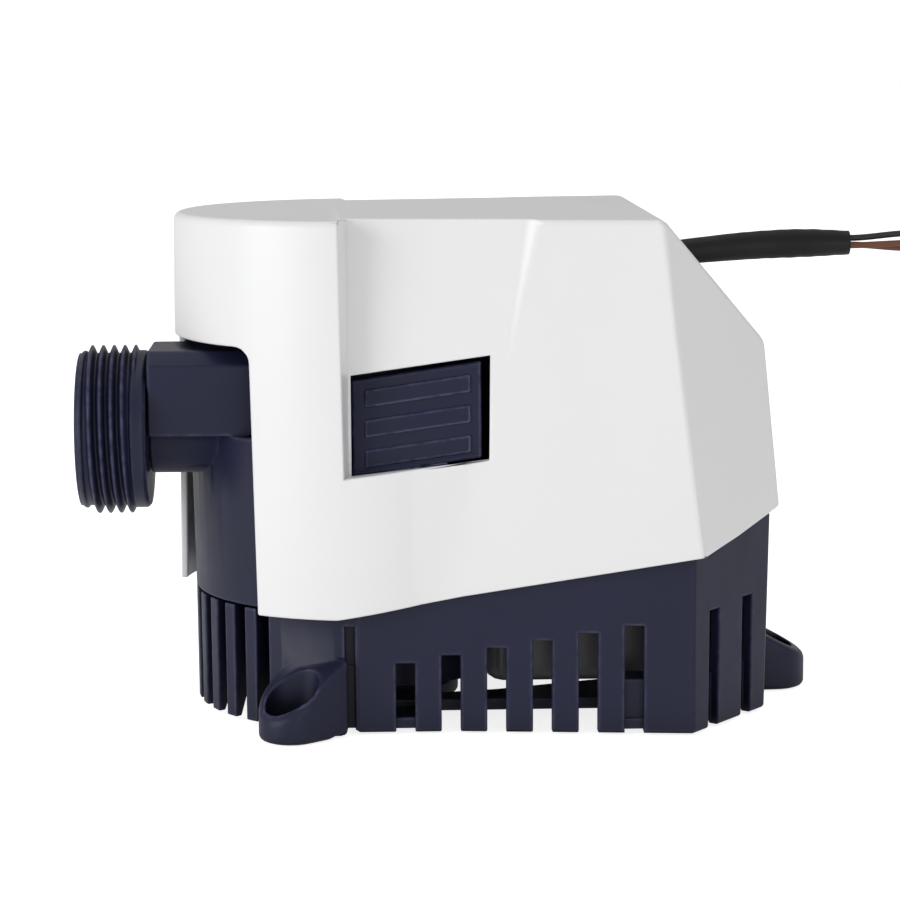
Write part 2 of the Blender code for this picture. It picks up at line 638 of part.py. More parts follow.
def tab_slab(name, x_range, z_range, front, back):
    """A plate along the pocket's bottom, front to back behind it, climbing like the sill."""
    (low_x, high_x), (low_z, high_z) = x_range, z_range
    climb = TAB_RISE * (high_x - low_x)
    corners = [(low_x, low_z), (high_x, low_z + climb), (high_x, high_z + climb), (low_x, high_z)]
    return loft(name, [[(x, pocket_y(x, z) + offset, z) for x, z in corners] for offset in (front, back)])


def build_release_tab(name, mirror):
    """A springy leg with a ridged push pad that sits behind the cover's window."""
    back = TAB_DEPTH + TAB_THICK
    tab = tab_slab(name, (-3.4, 21.6), (TAB_LOW, TAB_HIGH), TAB_DEPTH, back)
    bevel(tab, 0.5, 2, 30)
    extras = []
    for i in range(3):
        low = RIDGE_LOW + RIDGE_PITCH * i
        ridge = tab_slab(f"{name}_ridge_{i}", (-0.85, 19.5), (low, low + RIDGE_HIGH), TAB_DEPTH - 0.5,
                         TAB_DEPTH + 0.6)
        bevel(ridge, 0.25, 1, 30)
        extras.append(ridge)
    extras.append(tab_slab(name + "_leg", (3.0, 15.0), (43.0, 55.5), TAB_DEPTH + 0.2, back - 0.2))
    extras.append(box(name + "_root", (TAB_HINGE_X - 7.0, TAB_HINGE_Y - 0.9, TAB_HINGE_Z - 2.0),
                      (TAB_HINGE_X + 7.0, TAB_HINGE_Y + 0.9, 46.5)))
    if mirror:
        for shape in (tab, *extras):
            flip_y(shape)
    join(tab, *extras)
    place_origin(tab, (TAB_HINGE_X, TAB_HINGE_Y * (-1 if mirror else 1), TAB_HINGE_Z))
    return finish(tab, "navy_plastic", NAVY)


# ---------------------------------------------------------------- motor cartridge

def build_motor_housing():
    profile = [(FLANGE_R, FLANGE_HIGH), (FLANGE_R, FLANGE_LOW), (POT_R, FLANGE_LOW), (POT_R, POT_LOW),
               (5.4, POT_LOW), (5.4, POT_LOW + 2.8), (2.4, POT_LOW + 2.8), (2.4, POT_LOW + 4.0),
               (POT_R - POT_WALL, POT_LOW + 4.0), (POT_R - POT_WALL, FLANGE_HIGH)]
    return finish(turned("motor_housing", profile, 40), "black_plastic", BLACK)


def build_motor_cap():
    low = FLANGE_HIGH + GAP
    profile = [(0.0, low + 5), (12.0, low + 5), (13.0, low + 3), (FLANGE_R, low + 3), (FLANGE_R, low),
               (0.0, low)]
    cap = turned("motor_cap", profile, 48, closed=False)
    for i in range(3):
        x, y = screw_spot(i)
        cut(cap, cylinder(f"cap_hole_{i}", 1.8, (x, y, low - 1), (x, y, low + 8), 16))
    cut(cap, cylinder("lead_hole", 3.0, (6, 0, low - 1), (6, 0, low + 8), 20))
    return finish(cap, "black_plastic", BLACK)


def screw_spot(i):
    angle = math.radians(90 + 120 * i)
    return 24.0 * math.cos(angle), 24.0 * math.sin(angle)


def build_cap_screw(i):
    """A pan-head screw with a cross recess that holds the motor cap."""
    x, y = screw_spot(i)
    seat = FLANGE_HIGH + GAP + 3 + GAP
    shank = 1.45
    profile = [(0.0, seat + 1.8), (1.6, seat + 1.7), (2.7, seat + 0.9), (2.8, seat), (shank, seat),
               (shank, seat - 3.0), (0.0, seat - 3.2)]
    screw = turned(f"cap_screw_{i + 1}", profile, 24, (x, y), closed=False)
    for turn, size in enumerate(((1.5, 0.3), (0.3, 1.5))):
        cut(screw, box(f"recess_{i}_{turn}", (x - size[0], y - size[1], seat + 0.7),
                       (x + size[0], y + size[1], seat + 3)))
    return finish(screw, "steel", STEEL)


def build_o_ring():
    middle, thick, z = (POT_R + CHAMBER_BORE) / 2, (CHAMBER_BORE - POT_R) / 2 - GAP, 73.0
    profile = [(middle + thick * math.cos(a), z + thick * math.sin(a))
               for a in [-math.tau * k / 8 for k in range(8)]]
    return finish(turned("housing_o_ring", profile, 32), "rubber", RUBBER)


def build_impeller():
    """Shroud plate and hub with five curved vanes below it."""
    plate_low, plate_high, vane_low = 19.5, 21.3, 11.0
    bore = SHAFT_R + GAP
    profile = [(IMPELLER_R, plate_high), (IMPELLER_R, plate_low), (5.0, plate_low), (4.4, vane_low),
               (bore, vane_low), (bore, plate_high)]
    impeller = turned("impeller", profile, 48)
    for i in range(VANES):
        start = math.tau * i / VANES
        spine = []
        for k in range(7):
            radius = 3.8 + (IMPELLER_R - 4.3) * k / 6
            angle = start - 0.95 * k / 6
            spine.append(Vector((radius * math.cos(angle), radius * math.sin(angle))))
        left, right = [], []
        for k, spot in enumerate(spine):
            ahead = spine[min(k + 1, 6)] - spine[max(k - 1, 0)]
            side = Vector((-ahead.y, ahead.x)).normalized() * 0.8
            left.append(tuple(spot + side))
            right.append(tuple(spot - side))
        outline = left + list(reversed(right))
        join(impeller, prism(f"vane_{i}", outline, vane_low, plate_low + 0.6))
    return finish(impeller, "black_plastic", BLACK)


def build_shaft():
    shaft = cylinder("motor_shaft", SHAFT_R, (0, 0, SHAFT_LOW), (0, 0, SHAFT_HIGH), 24)
    return finish(shaft, "steel", STEEL)


def build_rings():
    """Seal, bushings and commutator, all round the shaft."""
    bore = SHAFT_R + GAP
    rings = (("shaft_seal", 5.0, bore, POT_LOW + 0.2, POT_LOW + 2.5, "rubber", RUBBER),
             ("lower_bushing", 4.2, bore, CAN_LOW, CAN_LOW + 4.0, "bronze", BRONZE),
             ("upper_bushing", 4.2, bore, 69.9, 73.6, "bronze", BRONZE),
             ("commutator", 4.4, bore, 64.9, 69.2, "copper", COPPER))
    return [finish(ring(name, outer, inner, low, high, 32), label, look)
            for name, outer, inner, low, high, label, look in rings]


def build_motor_can():
    inner = CAN_R - CAN_WALL
    profile = [(CAN_R, CAN_HIGH), (CAN_R, CAN_LOW), (4.6, CAN_LOW), (4.6, CAN_LOW + 1.4),
               (inner, CAN_LOW + 1.4), (inner, CAN_HIGH)]
    return finish(turned("motor_can", profile, 48), "steel", STEEL)


def build_magnet(i):
    outer, inner, half = CAN_R - CAN_WALL - GAP, 14.9, 68
    middle = 180 * i
    outline = arc((0, 0), outer, middle - half, middle + half, 16)
    outline += arc((0, 0), inner, middle + half, middle - half, 16)
    return finish(prism(f"magnet_{i + 1}", outline, 36.0, 64.0), "magnet", MAGNET)


def build_armature():
    """Five-pole laminated core, its winding and the gaps between them."""
    outline = []
    for i in range(5):
        turn = 72.0 * i
        spin = Matrix.Rotation(math.radians(turn), 2)
        corners = ((4.2, -1.6), (11.9, -1.6), (11.9, 1.6), (4.2, 1.6))
        sides = [tuple(spin @ Vector(spot)) for spot in corners]
        outline += sides[:2] + arc((0, 0), 12.2, turn - 27, turn - 26, 1)[:1]
        outline += arc((0, 0), 14.3, turn - 27, turn + 27, 8)
        outline += arc((0, 0), 12.2, turn + 27, turn + 26, 1)[:1] + sides[2:]
    core = prism("armature_core", outline, CORE_LOW, CORE_HIGH)
    cut(core, cylinder("core_bore", SHAFT_R + GAP, (0, 0, CORE_LOW - 1), (0, 0, CORE_HIGH + 1), 24))
    finish(core, "laminated_steel", STEEL)
    low, high = CORE_LOW - 3.4, CORE_HIGH + 3.4
    winding = ring("armature_winding", 11.4, 5.2, CORE_HIGH + GAP, high, 32)
    join(winding, ring("lower_turns", 11.4, 5.2, low, CORE_LOW - GAP, 32))
    for i in range(5):
        angle = math.tau * (i + 0.5) / 5
        x, y = 8.2 * math.cos(angle), 8.2 * math.sin(angle)
        join(winding, cylinder(f"slot_turns_{i}", 2.3, (x, y, low + 1), (x, y, high - 1), 12))
    finish(winding, "enamelled_copper", COPPER)
    return core, winding


def build_end_bell():
    profile = [(BELL_R, BELL_HIGH), (BELL_R, BELL_LOW), (4.5, BELL_LOW), (4.5, BELL_HIGH)]
    bell = turned("end_bell", profile, 40)
    for side in (-1, 1):
        ends = sorted((side * 9.8, side * 12.0))
        join(bell, box(f"brush_holder_{side}", (ends[0], -2.6, BRUSH_Z - 2), (ends[1], 2.6, BELL_LOW + 0.4)))
    return finish(bell, "white_nylon", WHITE)


def build_brush(i):
    side = 1 if i == 0 else -1
    ends = sorted((side * 4.7, side * 7.4))
    block = box(f"brush_{i + 1}", (ends[0], -1.5, BRUSH_Z - 1.6), (ends[1], 1.5, BRUSH_Z + 1.6))
    return finish(block, "carbon", CARBON)


def build_brush_spring(i):
    """A short coil between the brush and its holder."""
    side = 1 if i == 0 else -1
    start, end, radius, wire, turns, steps = 7.9, 9.3, 1.1, 0.14, 2, 12
    points = []
    for k in range(turns * steps + 1):
        angle = math.tau * k / steps
        x = start + (end - start) * k / (turns * steps)
        points.append((side * x, radius * math.cos(angle), BRUSH_Z + radius * math.sin(angle)))
    return finish(tube(f"brush_spring_{i + 1}", points, wire, 1), "steel", STEEL)


# ---------------------------------------------------------------- float switch

def build_float():
    """A block that wraps round the pump chamber and swings on an arm, with its magnet."""
    body = box("float", (FLOAT_LEFT, -FLOAT_HALF, FLOAT_LOW), (WING_RIGHT, FLOAT_HALF, FLOAT_HIGH))
    bevel(body, 4.0, 4, 30)
    cut(body, box("hinge_relief", (FLOAT_RIGHT, -WING_INNER, 0.0), (90.0, WING_INNER, 40.0)))
    cut(body, cylinder("chamber_relief", 32.0, (0, 0, 0), (0, 0, 40), 64))
    arm = box("float_arm", (FLOAT_RIGHT - 4, -6.0, PIVOT_Z - 3.0), (PIVOT_X, 6.0, PIVOT_Z + 0.6))
    eye = cylinder("float_eye", 3.2, (PIVOT_X, -6.0, PIVOT_Z), (PIVOT_X, 6.0, PIVOT_Z), 24)
    boss = cylinder("float_boss", BOSS_R - 0.6, (BOSS_X, 0, BOSS_LOW), (BOSS_X, 0, FLOAT_LOW + 3), 24,
                    BOSS_R)
    join(body, arm, eye, boss)
    cut(body, cylinder("float_bore", 1.6, (PIVOT_X, -9, PIVOT_Z), (PIVOT_X, 9, PIVOT_Z), 24))
    cut(body, cylinder("magnet_pocket", 4.3, (44, 0, FLOAT_HIGH - 4.4), (44, 0, FLOAT_HIGH + 2), 24))
    place_origin(body, (PIVOT_X, 0.0, PIVOT_Z))
    magnet = cylinder("float_magnet", 4.0, (44, 0, FLOAT_HIGH - 4.1), (44, 0, FLOAT_HIGH - 0.4), 24)
    return finish(body, "float_plastic", BLACK), finish(magnet, "magnet", MAGNET)


def place_origin(item, spot):
    """Moves an object's origin without moving its shape."""
    item.data.transform(Matrix.Translation(-Vector(spot) * MM))
    item.location = Vector(spot) * MM


def build_switch():
    """The sealed switch box over the float, its lid, the reed switch and the pin in its two ears."""
    low, high = SWITCH_LOW, SWITCH_HIGH
    half, wall = SWITCH_HALF, SWITCH_WALL
    housing = box("switch_housing", (SWITCH_LEFT, -half, low), (SWITCH_RIGHT, half, high))
    bevel(housing, 1.5, 2, 30)
    cut(housing, box("switch_hollow", (SWITCH_LEFT + wall, wall - half, low + wall),
                     (SWITCH_RIGHT - wall, half - wall, high + 2)))
    for side in (-1, 1):
        ends = sorted((side * 6.6, side * 9.4))
        ear = box(f"ear_{side}", (64.6, ends[0], PIVOT_Z - 3.6), (71.6, ends[1], low + 1))
        join(housing, ear)
    cut(housing, cylinder("pin_bore", 1.6, (PIVOT_X, -12, PIVOT_Z), (PIVOT_X, 12, PIVOT_Z), 24))
    lid = box("switch_lid", (SWITCH_LEFT, -half, high + GAP), (SWITCH_RIGHT, half, high + 2.2))
    cut(lid, cylinder("switch_lead_hole", 2.4, (60, 5, high - 2), (60, 5, high + 5), 20))
    reed = cylinder("reed_switch", 1.4, (36, 0, low + 4.4), (54, 0, low + 4.4), 20)
    pin = cylinder("float_pin", 1.55, (PIVOT_X, -9.9, PIVOT_Z), (PIVOT_X, 9.9, PIVOT_Z), 24)
    return (finish(housing, "black_plastic", BLACK), finish(lid, "black_plastic", BLACK),
            finish(reed, "glass", GLASS), finish(pin, "steel", STEEL))


# ---------------------------------------------------------------- cable

def cable_point(x):
    """Centre line of the cable, slightly arched."""
    (x0, z0), (x1, z1) = CABLE_START, CABLE_END
    share = (x - x0) / (x1 - x0)
    return Vector((x, CABLE_Y, z0 + (z1 - z0) * share + CABLE_ARCH * math.sin(math.pi * min(share, 1.0))))


def build_cable():
    """A sleeve over three wires that part again past its end."""
    span = [51.0 + (CABLE_END[0] - 51.0) * k / 14 for k in range(15)]
    sleeve = tube("cable_sleeve", [cable_point(x) for x in span], SLEEVE_R, 4)
    bore_span = [49.0] + span[1:-1] + [CABLE_END[0] + 1.5]
    cut(sleeve, tube("sleeve_bore", [cable_point(x) for x in bore_span], SLEEVE_BORE, 4))
    finish(sleeve, "heat_shrink", RUBBER)
    grommet = cylinder("cable_grommet", 4.6, cable_point(53.0), cable_point(57.0), 24)
    cut(grommet, cylinder("grommet_bore", SLEEVE_R + 0.4, cable_point(50.0), cable_point(60.0), 24))
    finish(grommet, "rubber", RUBBER)
    wires = []
    leads = (("wire_brown_1", 210, (0.4, -0.2), "brown_pvc", BROWN),
             ("wire_brown_2", 330, (-0.8, 0.2), "brown_pvc", BROWN),
             ("wire_black", 90, (0.8, 0.8), "black_pvc", BLACK))
    for name, turn, drift, label, look in leads:
        angle = math.radians(turn)
        offset = Vector((0, WIRE_RING * math.cos(angle), WIRE_RING * math.sin(angle)))
        points = [cable_point(x) + offset for x in [46.0 + 3.82 * k for k in range(15)]]
        last = points[-1]
        for k in range(1, 6):
            share = k / 5
            ease = share * share * (3 - 2 * share)
            points.append(Vector((last.x + (WIRE_END - last.x) * share, last.y + drift[1] * ease,
                                  last.z + drift[0] * ease)))
        wires.append(finish(tube(name, points, WIRE_R, 2), label, look))
    return [sleeve, grommet] + wires


# ---------------------------------------------------------------- assembly

def build_all():
    build_strainer_base()
    build_pump_body()
    build_threaded_port()
    build_cover()
    build_release_tab("release_tab_near", False)
    build_release_tab("release_tab_far", True)
    build_motor_housing()
    build_motor_cap()
    for i in range(3):
        build_cap_screw(i)
    build_o_ring()
    build_impeller()
    build_shaft()
    build_rings()
    build_motor_can()
    build_armature()
    build_end_bell()
    for i in range(2):
        build_magnet(i)
        build_brush(i)
        build_brush_spring(i)
    build_float()
    build_switch()
    build_cable()


clear_scene()
parts = make_collection("bilge_pump")
cutters = make_collection("cutters")
build_all()
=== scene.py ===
"""Looks for the bilge pump: materials, finer pieces, studio and camera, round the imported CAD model."""
import json
import math

import bmesh
import bpy
from mathutils import Matrix, Vector

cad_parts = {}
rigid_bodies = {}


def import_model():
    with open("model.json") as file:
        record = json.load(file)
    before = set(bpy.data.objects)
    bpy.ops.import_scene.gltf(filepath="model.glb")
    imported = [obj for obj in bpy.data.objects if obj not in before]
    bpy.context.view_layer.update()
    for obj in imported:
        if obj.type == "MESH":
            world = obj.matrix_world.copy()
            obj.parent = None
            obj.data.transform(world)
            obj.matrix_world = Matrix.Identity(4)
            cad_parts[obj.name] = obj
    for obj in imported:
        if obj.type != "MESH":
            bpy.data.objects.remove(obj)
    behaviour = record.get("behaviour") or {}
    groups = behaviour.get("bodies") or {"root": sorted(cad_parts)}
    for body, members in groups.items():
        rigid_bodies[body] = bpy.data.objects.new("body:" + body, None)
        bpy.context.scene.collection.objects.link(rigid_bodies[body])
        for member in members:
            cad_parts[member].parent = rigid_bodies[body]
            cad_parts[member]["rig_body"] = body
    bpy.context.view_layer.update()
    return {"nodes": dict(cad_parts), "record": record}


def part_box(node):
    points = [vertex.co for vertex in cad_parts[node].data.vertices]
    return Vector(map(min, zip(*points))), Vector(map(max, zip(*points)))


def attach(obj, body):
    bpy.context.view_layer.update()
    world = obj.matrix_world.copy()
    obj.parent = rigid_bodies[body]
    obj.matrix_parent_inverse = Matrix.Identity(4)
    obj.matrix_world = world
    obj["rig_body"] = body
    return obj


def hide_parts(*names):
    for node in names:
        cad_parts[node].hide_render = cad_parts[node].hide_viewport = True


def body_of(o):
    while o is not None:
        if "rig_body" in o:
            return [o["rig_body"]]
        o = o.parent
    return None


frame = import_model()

MM = 0.001
nodes = frame["nodes"]

SHARP = 32.0                 # degrees between faces that stay a sharp edge
THREAD_ROOT, THREAD_CREST, THREAD_PITCH = 15.2, 16.8, 2.15
THREAD_START, THREAD_TURNS = 2.5, 4.03
COLLAR = ((0.0, 14.5), (0.3, 15.2), (0.8, 15.65), (1.25, 15.7), (1.6, 15.2), (10.5, 15.2), (10.9, 15.7),
          (13.0, 15.7), (13.4, 15.5), (13.7, 14.9))    # collar's radius without its thread, from its mouth
CABLE_Y, CABLE_ARCH = 5.0, 1.6
CABLE_START, CABLE_END = (60.0, 89.5), (99.2, 92.4)
FLAT_CABLE = ((60.0, 89.9), (99.2, 92.05), 0.7)         # the flatter line outside the cover
# sleeve's radius at each x
SLEEVE_TAPER = ((51.0, 2.55), (66.0, 2.6), (75.0, 2.8), (87.0, 2.95), (92.0, 2.85), (99.2, 2.45))
SLEEVE_BORE, LEAD_R, LEAD_RING = 1.95, 0.65, 0.97
# Painted shade in hollows: the reach and range of the occlusion that darkens them.
HOLLOW_REACH = 0.012            # metres: how far round a point a hollow is looked for
HOLLOW_RANGE = 0.25, 0.62       # openness of a full hollow and of a free surface
# Bore at the collar's inner end. The CAD's is 9.0, which leaves a sliver open beside the neck tube.
SEAT_BORE, SEAT_DEPTH = 7.2, 1.5


# ---------------------------------------------------------------- node helpers

class Shader:
    """A material's node tree, built with short calls."""

    def __init__(self, name):
        self.mat = bpy.data.materials.new(name)
        self.mat.use_nodes = True
        self.tree = self.mat.node_tree
        self.bsdf = self.tree.nodes["Principled BSDF"]
        self.where = self.add("ShaderNodeTexCoord").outputs["Object"]

    def add(self, kind, **settings):
        node = self.tree.nodes.new(kind)
        for key, value in settings.items():
            setattr(node, key, value)
        return node

    def link(self, source, target):
        self.tree.links.new(source, target)

    def set(self, name, value):
        socket = self.bsdf.inputs[name]
        if hasattr(value, "is_output"):
            self.link(value, socket)
        else:
            socket.default_value = value

    def noise(self, scale, detail=3.0, rough=0.55, stretch=(1, 1, 1), distort=0.0):
        spot = self.add("ShaderNodeMapping")
        spot.inputs["Scale"].default_value = stretch
        self.link(self.where, spot.inputs["Vector"])
        noise = self.add("ShaderNodeTexNoise")
        self.link(spot.outputs["Vector"], noise.inputs["Vector"])
        noise.inputs["Scale"].default_value = scale
        noise.inputs["Detail"].default_value = detail
        noise.inputs["Roughness"].default_value = rough
        noise.inputs["Distortion"].default_value = distort
        return noise.outputs["Fac"]

    def span(self, value, low, high, start=0.3, end=0.7):
        """Maps a noise value from start..end to low..high."""
        node = self.add("ShaderNodeMapRange")
        self.link(value, node.inputs["Value"])
        for key, number in (("From Min", start), ("From Max", end), ("To Min", low), ("To Max", high)):
            node.inputs[key].default_value = number
        return node.outputs["Result"]

    def blend(self, share, first, second):
        node = self.add("ShaderNodeMix", data_type="RGBA")
        for socket, value in ((node.inputs[0], share), (node.inputs[6], first), (node.inputs[7], second)):
            if hasattr(value, "is_output"):
                self.link(value, socket)
            else:
                socket.default_value = value
        return node.outputs[2]

    def bump(self, height, strength, distance, normal=None):
        node = self.add("ShaderNodeBump")
        node.inputs["Strength"].default_value = strength
        node.inputs["Distance"].default_value = distance
        self.link(height, node.inputs["Height"])
        if normal is not None:
            self.link(normal, node.inputs["Normal"])
        return node.outputs["Normal"]

    def edge(self, radius, reach=2.2, faint=0.93, full=0.68):
        """Normals rounded over sharp edges, and a share that is 1 on outer edges and 0 away from them.

        The share grows where rays sent inwards soon meet another side: reach is their length in radii.
        """
        soft = self.add("ShaderNodeBevel", samples=6)
        soft.inputs["Radius"].default_value = radius
        inside = self.add("ShaderNodeAmbientOcclusion", samples=6, inside=True, only_local=True)
        inside.inputs["Distance"].default_value = radius * reach
        # Mask for the painted edge highlight: 1 on outer edges, 0 away from them.
        edge_highlight = self.add("ShaderNodeMapRange")
        self.link(inside.outputs["AO"], edge_highlight.inputs["Value"])
        for key, number in (("From Min", faint), ("From Max", full), ("To Min", 0.0), ("To Max", 1.0)):
            edge_highlight.inputs[key].default_value = number
        return soft.outputs["Normal"], edge_highlight.outputs["Result"]

    def openness(self, reach, closed, free):
        """Share that is 0 deep in a hollow and 1 on a free surface, from rays of that reach."""
        around = self.add("ShaderNodeAmbientOcclusion", samples=6)
        around.inputs["Distance"].default_value = reach
        return self.span(around.outputs["AO"], 0.0, 1.0, closed, free)


def grey(value):
    return (value, value, value, 1.0)


def moulded(name, colour, light, rough, grain=0.15, radius=0.00035, edge_highlight=0.75, rim=1.0, edge=(),
            hollow=None):
    """Moulded plastic: faint colour drift, a fine spark-eroded grain and paler edges, which are a painted
    highlight.

    Where hollow is given, deep hollows are painted darker as shade, keeping only that share of the colour.
    """
    s = Shader(name)
    soft, highlight_mask = s.edge(radius, *edge)
    drift = s.noise(38.0, 4.0)
    base = s.blend(s.span(drift, 0.0, 1.0), colour, light)
    highlight_noise = s.noise(420.0, 2.0)
    # Painted highlight: outer edges are mixed towards a pale colour, broken up by noise.
    share = s.add("ShaderNodeMath", operation="MULTIPLY")
    s.link(highlight_mask, share.inputs[0])
    s.link(s.span(highlight_noise, 0.1 * edge_highlight, edge_highlight), share.inputs[1])
    glint_colour = tuple(min(1.0, rim * (c * 2.4 + 0.045)) for c in light[:3]) + (1.0,)
    base = s.blend(share.outputs[0], base, glint_colour)
    # Painted shade: the colour darkens where occlusion finds a hollow.
    if hollow:
        deep = tuple(hollow * c for c in colour[:3]) + (1.0,)
        base = s.blend(s.openness(HOLLOW_REACH, *HOLLOW_RANGE), deep, base)
    s.set("Base Color", base)
    smear = s.noise(60.0, 5.0, 0.6, distort=0.6)
    s.set("Roughness", s.span(smear, rough - 0.05, rough + 0.06))
    fine = s.noise(5200.0, 2.0, 0.6)
    s.set("Normal", s.bump(fine, grain, 0.00004, soft))
    s.set("Specular IOR Level", 0.32)
    return s.mat


def white_abs():
    """Gloss white ABS: barely visible flow marks, tiny specks and a soft sheen."""
    s = Shader("white_abs")
    soft = s.edge(0.0004)[0]
    drift = s.noise(14.0, 3.0, stretch=(1.0, 1.0, 0.5))
    base = s.blend(s.span(drift, 0.0, 1.0), (0.86, 0.862, 0.87, 1.0), (0.895, 0.895, 0.9, 1.0))
    speck = s.noise(1900.0, 1.0)
    base = s.blend(s.span(speck, 0.0, 0.03, 0.66, 0.76), base, (0.62, 0.61, 0.58, 1.0))
    s.set("Base Color", base)
    smear = s.noise(45.0, 5.0, 0.62, distort=0.8)
    s.set("Roughness", s.span(smear, 0.31, 0.33, 0.1, 0.9))
    wave = s.noise(26.0, 2.0)
    fine = s.noise(3600.0, 2.0)
    s.set("Normal", s.bump(fine, 0.06, 0.00003, s.bump(wave, 0.12, 0.0004, soft)))
    s.set("Subsurface Weight", 0.04)
    s.set("Subsurface Radius", (0.002, 0.002, 0.0018))
    s.set("Subsurface Scale", 0.4)
    return s.mat


def rubber(name, value, rough):
    s = Shader(name)
    drift = s.noise(90.0, 4.0)
    s.set("Base Color", s.blend(s.span(drift, 0.0, 1.0), grey(value), grey(value * 1.8)))
    s.set("Roughness", s.span(s.noise(150.0, 4.0), rough - 0.08, rough + 0.1))
    s.set("Normal", s.bump(s.noise(900.0, 3.0, stretch=(0.25, 1, 1)), 0.45, 0.00008))
    s.set("Specular IOR Level", 0.35)
    return s.mat


def metal(name, colour, rough, brushed=(1, 1, 1)):
    s = Shader(name)
    drift = s.noise(120.0, 4.0)
    dull = tuple(c * 0.72 for c in colour[:3]) + (1.0,)
    s.set("Base Color", s.blend(s.span(drift, 0.0, 1.0), dull, colour))
    s.set("Metallic", 1.0)
    s.set("Roughness", s.span(s.noise(300.0, 4.0, stretch=brushed), rough - 0.07, rough + 0.12))
    s.set("Normal", s.bump(s.noise(1500.0, 3.0, stretch=brushed), 0.12, 0.00004))
    return s.mat


def laminated():
    """Stacked core plates: fine lines across the height."""
    s = Shader("laminated_steel")
    wave = s.add("ShaderNodeTexWave", wave_type="BANDS", bands_direction="Z")
    s.link(s.where, wave.inputs["Vector"])
    wave.inputs["Scale"].default_value = 320.0
    s.set("Base Color", s.blend(wave.outputs["Fac"], grey(0.16), grey(0.42)))
    s.set("Metallic", 1.0)
    s.set("Roughness", s.span(s.noise(200.0), 0.35, 0.55))
    s.set("Normal", s.bump(wave.outputs["Fac"], 0.5, 0.0001))
    return s.mat


def windings():
    """Enamelled wire laid side by side."""
    s = Shader("enamelled_copper")
    wave = s.add("ShaderNodeTexWave", wave_type="RINGS", rings_direction="Z")
    s.link(s.where, wave.inputs["Vector"])
    wave.inputs["Scale"].default_value = 420.0
    wave.inputs["Distortion"].default_value = 1.5
    s.set("Base Color", s.blend(wave.outputs["Fac"], (0.25, 0.08, 0.03, 1), (0.72, 0.32, 0.14, 1)))
    s.set("Metallic", 0.85)
    s.set("Roughness", s.span(s.noise(220.0), 0.22, 0.38))
    s.set("Normal", s.bump(wave.outputs["Fac"], 0.7, 0.00015))
    return s.mat


def clear_glass():
    s = Shader("glass")
    s.set("Base Color", s.blend(s.span(s.noise(80.0), 0.0, 1.0), (0.72, 0.8, 0.77, 1), (0.85, 0.9, 0.88, 1)))
    s.set("Roughness", s.span(s.noise(140.0), 0.03, 0.1))
    s.set("Transmission Weight", 0.85)
    return s.mat


NAVY, NAVY_LIGHT = (0.0095, 0.0115, 0.036, 1.0), (0.0125, 0.0145, 0.043, 1.0)


def make_materials():
    return {
        # Navy plastic gets painted shade in its hollows as well as the painted edge highlight.
        "navy_plastic": moulded("navy_plastic", NAVY, NAVY_LIGHT, 0.42, hollow=0.2),
        "white_abs": white_abs(),
        "black_plastic": moulded("black_plastic", grey(0.008), grey(0.013), 0.38),
        "float_plastic": moulded("float_plastic", grey(0.085), grey(0.11), 0.22, 0.1, edge_highlight=0.3),
        "stainless": metal("stainless", (0.62, 0.62, 0.63, 1), 0.26, (1, 1, 6)),
        "plated_steel": metal("plated_steel", (0.6, 0.6, 0.56, 1), 0.34),
        "laminated_steel": laminated(),
        "copper": windings(),
        "bronze": metal("bronze", (0.5, 0.33, 0.14, 1), 0.42),
        "ferrite": moulded("ferrite", grey(0.03), grey(0.05), 0.62, 0.6),
        "carbon": moulded("carbon", grey(0.015), grey(0.03), 0.5, 0.5),
        "nylon": moulded("nylon", (0.7, 0.68, 0.6, 1), (0.78, 0.76, 0.7, 1), 0.45),
        "rubber": rubber("rubber", 0.012, 0.6),
        "heat_shrink": rubber("heat_shrink", 0.0035, 0.5),
        "brown_pvc": moulded("brown_pvc", (0.12, 0.042, 0.022, 1), (0.17, 0.06, 0.032, 1), 0.34, edge_highlight=0.2),
        "black_pvc": moulded("black_pvc", grey(0.01), grey(0.018), 0.38, 0.2),
        "glass": clear_glass(),
        # Ridged pad: a stronger painted highlight along the edges of its ridges.
        "ridged_pad": moulded("ridged_pad", NAVY, NAVY_LIGHT, 0.42, edge_highlight=1.6, rim=2.0,
                              edge=(1.0, 0.97, 0.84)),
    }


def dress_nodes(materials):
    """Every CAD node gets its record slot's material, and round ones are shaded smooth."""
    for name, node in nodes.items():
        node.data.materials.clear()
        node.data.materials.append(materials[slot_of[name]])
        node.data.shade_smooth()
        node.data.set_sharp_from_angle(angle=math.radians(SHARP))


# ---------------------------------------------------------------- pieces

def add_piece(name, mesh, node, look=None):
    """A new piece that stands for a CAD node, on its body, in its slot's material or in look."""
    item = bpy.data.objects.new(name, mesh)
    bpy.context.scene.collection.objects.link(item)
    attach(item, body_of(nodes[node])[0])
    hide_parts(node)
    mesh.materials.clear()
    mesh.materials.append(materials[look or slot_of[node]])
    return item


def shade(item, angle=None):
    item.data.shade_smooth()
    item.data.set_sharp_from_angle(angle=math.radians(angle or SHARP))
    weigh = item.modifiers.new("flat_faces_first", 'WEIGHTED_NORMAL')
    weigh.keep_sharp = True
    weigh.weight = 90


